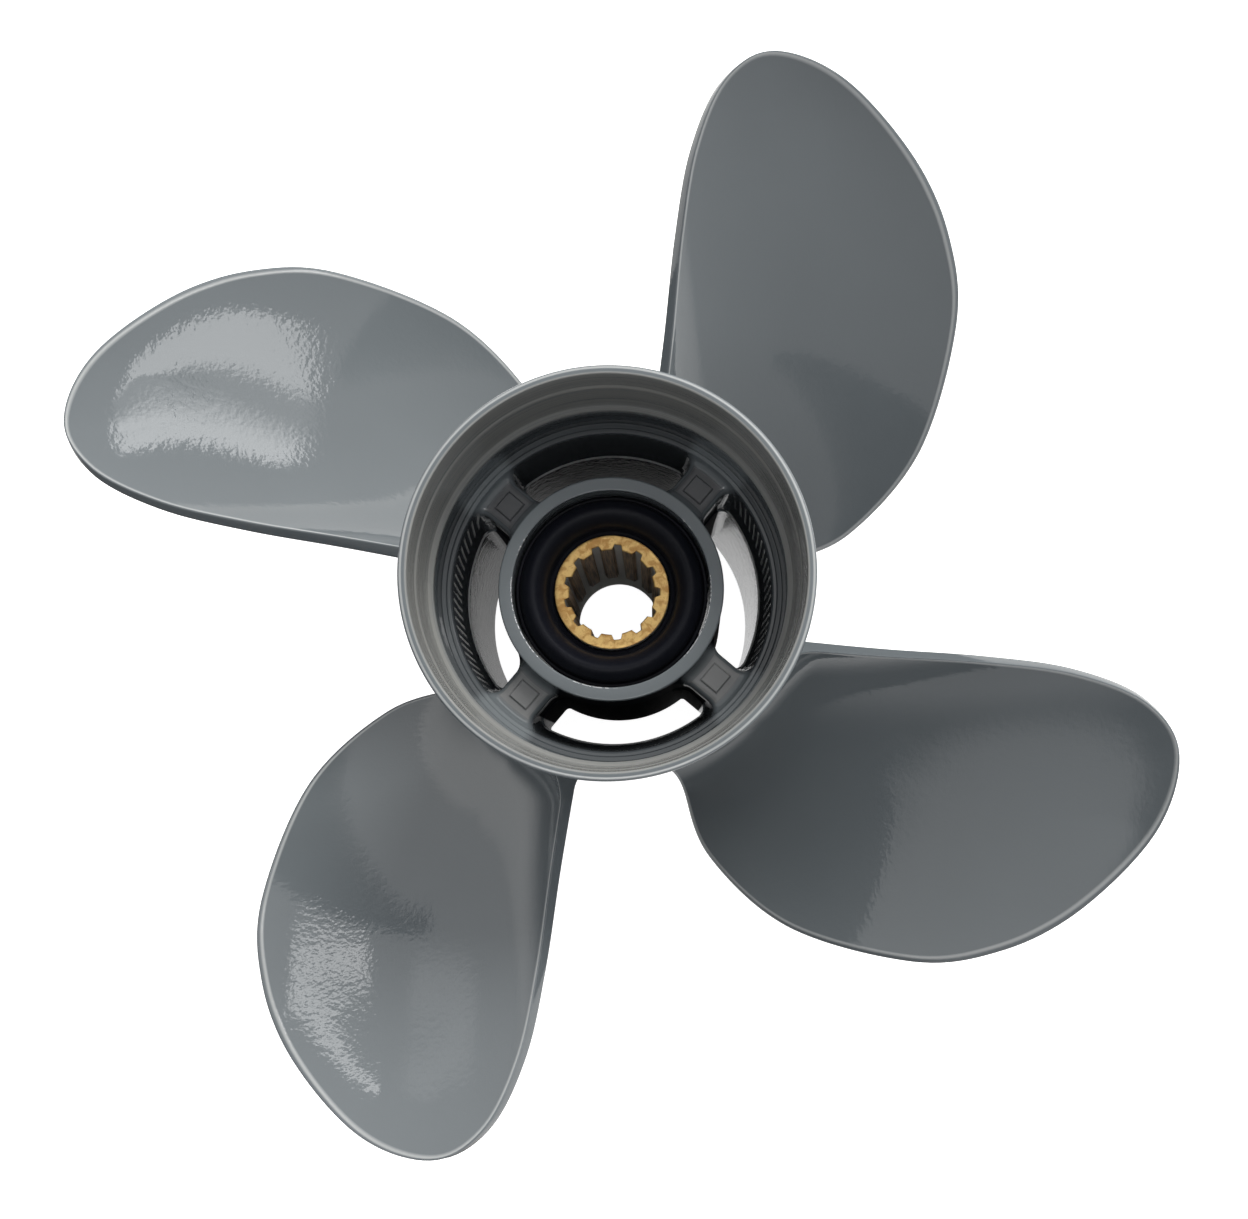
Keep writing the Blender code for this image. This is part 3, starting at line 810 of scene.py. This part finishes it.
def paint_material():
    """Glossy grey paint over cast aluminium, satin where it is machined, with painted shade in the passages
    and recesses, painted light and shade on the rib tops, and painted highlight lines.
    """
    material, nodes, shader, place, radius, turn, z = new_material("grey_gloss_paint")
    from_rib = nodes.total(turn, math.radians(-RIB_ANGLE))
    around = nodes.math("COSINE", nodes.product(from_rib, float(RIB_COUNT)))
    between_ribs = nodes.ramp(around, 0.85, 0.6)
    machined = zone(nodes, radius, z, *MACHINED_ZONE)
    on_rib = zone(nodes, radius, z, *RIB_TOP_ZONE)
    deep_shade = nodes.product(zone(nodes, radius, z, *DEEP_WALL_SHADE_ZONE), between_ribs, 0.6)
    painted_shade = painted_shade_zone(nodes, radius, z, between_ribs)
    turning = nodes.noise(round_place(nodes, radius, turn, z, 0.006, 1.0), 3.2, 3.0)
    dents = chatter(nodes, turn, radius, z)
    chipped = chipped_edge(nodes, place, radius, z)

    cloud = nodes.noise(place, 0.03, 2.0)
    tone = nodes.mix(cloud, [c * 0.94 for c in PAINT_COLOUR], [c * 1.06 for c in PAINT_COLOUR])
    tone = nodes.mix(nodes.product(machined, nodes.ramp(turning, 0.1, 0.6)), tone, MACHINED_COLOUR)
    # Painted light and shade on the rib tops: lighter below the axis, and darker above it where the barrel
    # shades them
    upper_ribs_shaded = nodes.ramp(nodes.math("SINE", turn), -0.1, 0.1)
    tone = nodes.mix(on_rib, tone, nodes.mix(upper_ribs_shaded, LIT_RIB_COLOUR, SHADED_RIB_COLOUR))
    # Painted shade on the deep barrel wall between the ribs
    tone = nodes.mix(deep_shade, tone, SHADE_COLOUR)
    # Painted highlight lines on the blade edges, the rim's lip and the passage mouths
    tone = nodes.mix(painted_highlights(nodes, radius, z, between_ribs), tone, HIGHLIGHT_COLOUR)
    # Painted shade round the hub tube and down between the tubes
    tone = nodes.mix(painted_shade, tone, SHADE_COLOUR)
    # The tool dents are also painted in the highlight colour, a painted highlight
    tone = nodes.mix(nodes.product(dents, 0.7), tone, HIGHLIGHT_COLOUR)
    nodes.feed(shader.inputs["Base Color"], nodes.mix(chipped, tone, BARE_COLOUR))

    nodes.feed(shader.inputs["Metallic"], chipped)
    # Where shade is painted, the paint is also made rough and less shiny
    rough = nodes.total(0.045, nodes.product(chipped, 0.25), nodes.product(painted_shade, 0.6),
                        nodes.product(machined, 0.14), nodes.product(on_rib, 0.3))
    nodes.feed(shader.inputs["Roughness"], rough)
    nodes.feed(shader.inputs["Specular IOR Level"], nodes.total(0.5, nodes.product(painted_shade, -0.46)))
    normal = paint_normal(nodes, place, radius, z, machined, turning, dents)
    nodes.feed(shader.inputs["Normal"], normal)
    return material


def rubber_material():
    """Moulded black rubber with a soft sheen and a little dust."""
    material, nodes, shader, place, radius, turn, z = new_material("black_rubber")
    cloud = nodes.noise(place, 0.25, 4.0)
    nodes.feed(shader.inputs["Base Color"], nodes.mix(cloud, *RUBBER_COLOURS))
    nodes.feed(shader.inputs["Roughness"], nodes.total(0.30, nodes.product(cloud, 0.2)))
    shader.inputs["Specular IOR Level"].default_value = 0.12
    grain = nodes.total(nodes.noise(place, 2.5, 2.0), nodes.product(nodes.noise(place, 0.5, 2.0), 2.0))
    nodes.feed(shader.inputs["Normal"], nodes.bump(grain, 0.03 * MM))
    return material


def brass_material():
    """Machined brass face with brown stains; a dark oxidised bore with lighter groove floors."""
    material, nodes, shader, place, radius, turn, z = new_material("brass")
    stain = nodes.noise(place, 0.55, 4.0, 0.6)
    face = nodes.mix(nodes.ramp(stain, 0.42, 0.66), BRASS_COLOUR, BRASS_STAIN_COLOUR)
    speckle = nodes.ramp(nodes.noise(place, 2.4, 3.0), 0.56, 0.68)
    face = nodes.mix(nodes.product(speckle, 0.5), face, BRASS_SPECKLE_COLOUR)
    groove = nodes.ramp(radius, SPLINE_MAJOR - 0.35, SPLINE_MAJOR - 0.15)
    streak = nodes.noise(round_place(nodes, radius, turn, z, 1.0, 0.06), 1.2, 3.0)
    land = nodes.mix(nodes.ramp(streak, 0.35, 0.65), *LAND_COLOURS)
    bore = nodes.mix(groove, land, GROOVE_COLOUR)
    inside = nodes.ramp(z, SLEEVE_AFT - 0.25, SLEEVE_AFT - 0.6)
    nodes.feed(shader.inputs["Base Color"], nodes.mix(inside, face, bore))
    nodes.feed(shader.inputs["Metallic"], nodes.total(0.75, nodes.product(inside, -0.35)))
    rough = nodes.total(0.30, nodes.product(stain, 0.25), nodes.product(inside, 0.15))
    nodes.feed(shader.inputs["Roughness"], rough)
    rings = nodes.math("SINE", nodes.product(radius, 18.0))
    scratch = nodes.total(nodes.noise(place, 3.0, 3.0), nodes.product(rings, 0.1))
    nodes.feed(shader.inputs["Normal"], nodes.bump(scratch, 0.03 * MM))
    return material


# ---- Stage ---------------------------------------------------------------------------------

def flag_share(nodes, x, y, flag, where):
    """Share of light left by a dark flag that stands low on one side of the studio."""
    flag_turn, edge, middle = flag
    length = nodes.math("SQRT", nodes.total(nodes.product(x, x), nodes.product(y, y), 1e-9))
    along = nodes.total(nodes.product(x, math.cos(flag_turn)), nodes.product(y, math.sin(flag_turn)))
    facing = nodes.math("DIVIDE", along, length)
    hidden = nodes.product(nodes.ramp(facing, edge, middle), where, FLAG_HIDES)
    return nodes.math("SUBTRACT", 1.0, hidden)


def under_glow(nodes, x):
    """Glow of the floor under the barrel, which lights the two side passages from below."""
    start = 8.0 * MM
    end = 26.0 * MM
    return nodes.total(nodes.product(nodes.ramp(x, start, end), UNDER_GLOW_RIGHT),
                       nodes.product(nodes.ramp(x, -start, -end), UNDER_GLOW_LEFT), UNDER_GLOW)


def make_floor():
    """Pale floor that looks evenly white from above."""
    mesh = bpy.data.meshes.new("floor")
    corners = [(x * FLOOR_SIZE, y * FLOOR_SIZE, 0) for x, y in ((-1, -1), (1, -1), (1, 1), (-1, 1))]
    mesh.from_pydata(corners, [], [(0, 1, 2, 3)])
    floor = bpy.data.objects.new("floor", mesh)
    floor.location.z = CAD_BOUNDS[0].z - 0.0002
    bpy.context.scene.collection.objects.link(floor)
    material = bpy.data.materials.new("pale_floor")
    material.use_nodes = True
    nodes = Nodes(material.node_tree)
    shader = material.node_tree.nodes["Principled BSDF"]
    shader.inputs["Roughness"].default_value = 0.9
    shader.inputs["Emission Color"].default_value = (1.0, 1.0, 1.0, 1.0)
    seen = nodes.add("ShaderNodeLightPath").outputs["Is Camera Ray"]
    split = nodes.add("ShaderNodeSeparateXYZ")
    nodes.feed(split.inputs[0], nodes.add("ShaderNodeTexCoord").outputs["Object"])
    x, y, z = split.outputs
    away = nodes.math("SQRT", nodes.total(nodes.product(x, x), nodes.product(y, y)))
    beyond = nodes.ramp(away, RIM_RADIUS * MM, 1.3 * RIM_RADIUS * MM)
    left = flag_share(nodes, x, y, FLOOR_FLAG, nodes.product(beyond, nodes.math("SUBTRACT", 1.0, seen)))
    grey = nodes.add("ShaderNodeCombineColor")
    for socket in grey.inputs:
        nodes.feed(socket, nodes.product(left, 0.6))
    nodes.feed(shader.inputs["Base Color"], grey.outputs[0])
    under = nodes.product(nodes.math("SUBTRACT", 1.0, beyond), under_glow(nodes, x))
    unseen_glow = nodes.total(under, nodes.product(beyond, FLOOR_GLOW))
    unseen = nodes.math("SUBTRACT", 1.0, seen)
    glow = nodes.total(nodes.product(left, unseen, unseen_glow), nodes.product(seen, SEEN_WHITE))
    nodes.feed(shader.inputs["Emission Strength"], glow)
    mesh.materials.append(material)


def make_camera():
    """Camera above the aft end, a little towards the near side and tilted back to the propeller."""
    back = Vector(CAMERA_BACK).normalized()
    right = Vector(CAMERA_UP_GUIDE).cross(back).normalized()
    up = back.cross(right).normalized()
    data = bpy.data.cameras.new("camera")
    data.sensor_width = 36.0
    data.lens = CAMERA_LENS
    data.clip_start = 0.01
    camera = bpy.data.objects.new("camera", data)
    facing = Matrix((right, up, back)).transposed().to_4x4()
    camera.matrix_world = Matrix.Translation(CAMERA_PLACE) @ facing
    bpy.context.scene.collection.objects.link(camera)
    bpy.context.scene.camera = camera


def window_panes(nodes, turn, rise):
    """Light of each window pane in the direction that has this turn and rise, in degrees."""
    lights = []
    for pivot_turn, pivot_rise, upright_lean, sill_lean, panes in WINDOWS:
        aside = nodes.total(turn, -pivot_turn)
        above = nodes.total(rise, -pivot_rise)
        leant_aside = nodes.total(aside, nodes.product(above, -upright_lean))
        leant_above = nodes.total(above, nodes.product(aside, sill_lean))
        for turn_low, soft_low, turn_high, soft_high, rise_low, rise_high, rise_soft, strength in panes:
            across = nodes.band(leant_aside, turn_low, turn_high, soft_low, soft_high)
            upright = nodes.band(leant_above, rise_low, rise_high, rise_soft)
            lights.append(nodes.product(across, upright, strength))
    return lights


def make_world():
    """Pale studio: bright low walls, a soft key side, and a few window-like lights."""
    world = bpy.data.worlds.new("studio")
    world.use_nodes = True
    nodes = Nodes(world.node_tree)
    split = nodes.add("ShaderNodeSeparateXYZ")
    nodes.feed(split.inputs[0], nodes.add("ShaderNodeTexCoord").outputs["Generated"])
    x, y, z = split.outputs
    turn = nodes.math("DEGREES", nodes.math("ARCTAN2", y, x))
    rise = nodes.math("DEGREES", nodes.math("ARCSINE", z))
    towards_key = nodes.total(nodes.product(x, math.cos(KEY_TURN)), nodes.product(y, math.sin(KEY_TURN)))
    sky = nodes.total(SKY_DARK, nodes.product(nodes.ramp(towards_key, -0.9, 0.9), SKY_LIGHT - SKY_DARK))
    towards_wall = nodes.total(nodes.product(x, math.cos(WALL_TURN)), nodes.product(y, math.sin(WALL_TURN)))
    wall_share = nodes.ramp(towards_wall, -1.0, 1.0)
    walls = nodes.total(WALL_DARK, nodes.product(wall_share, WALL_LIGHT - WALL_DARK))
    above_walls = nodes.ramp(rise, *WALL_TOP)
    light = nodes.total(nodes.product(nodes.math("SUBTRACT", 1.0, above_walls), walls),
                        nodes.product(above_walls, sky))
    low_down = nodes.ramp(rise, *FLAG_TOP)
    light = nodes.product(light, flag_share(nodes, x, y, WALL_FLAG, low_down))
    light = nodes.total(light, *window_panes(nodes, turn, rise))
    seen = nodes.add("ShaderNodeLightPath").outputs["Is Camera Ray"]
    unseen = nodes.math("SUBTRACT", 1.0, seen)
    light = nodes.total(nodes.product(light, unseen), nodes.product(seen, SEEN_WHITE))
    background = world.node_tree.nodes["Background"]
    background.inputs["Color"].default_value = (1.0, 1.0, 1.0, 1.0)
    nodes.feed(background.inputs["Strength"], light)
    bpy.context.scene.world = world
    bpy.context.scene.view_settings.view_transform = "Standard"


def make_lamp(name, turn, rise, size, distance, power, colour):
    """Round soft lamp aimed at the propeller; its own shape doesn't show in the gloss."""
    data = bpy.data.lights.new(name, "AREA")
    data.shape = "DISK"
    data.size = size
    data.energy = power
    data.color = colour
    direction = Vector((math.cos(turn) * math.cos(rise), math.sin(turn) * math.cos(rise), math.sin(rise)))
    lamp = bpy.data.objects.new(name, data)
    lamp.location = direction * distance
    lamp.rotation_euler = direction.to_track_quat("Z", "Y").to_euler()
    lamp.visible_glossy = False
    bpy.context.scene.collection.objects.link(lamp)


# ---- Put it together -----------------------------------------------------------------------

casting = make_casting()
casting.data.materials.clear()
casting.data.materials.append(paint_material())
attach(casting, "blade_casting")
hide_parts("blade_casting")

rubber = make_rubber()
rubber.data.materials.append(rubber_material())
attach(rubber, "rubber_hub")
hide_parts("rubber_hub")

sleeve = make_sleeve()
sleeve.data.materials.append(brass_material())
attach(sleeve, "spline_sleeve")
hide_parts("spline_sleeve")

make_floor()
make_camera()
make_world()
make_lamp("key", KEY_TURN, KEY_RISE, 1.0, 2.0, KEY_POWER, (1.0, 0.97, 0.92))
make_lamp("fill", FILL_TURN, FILL_RISE, 0.5, 1.5, FILL_POWER, (1.0, 1.0, 1.0))
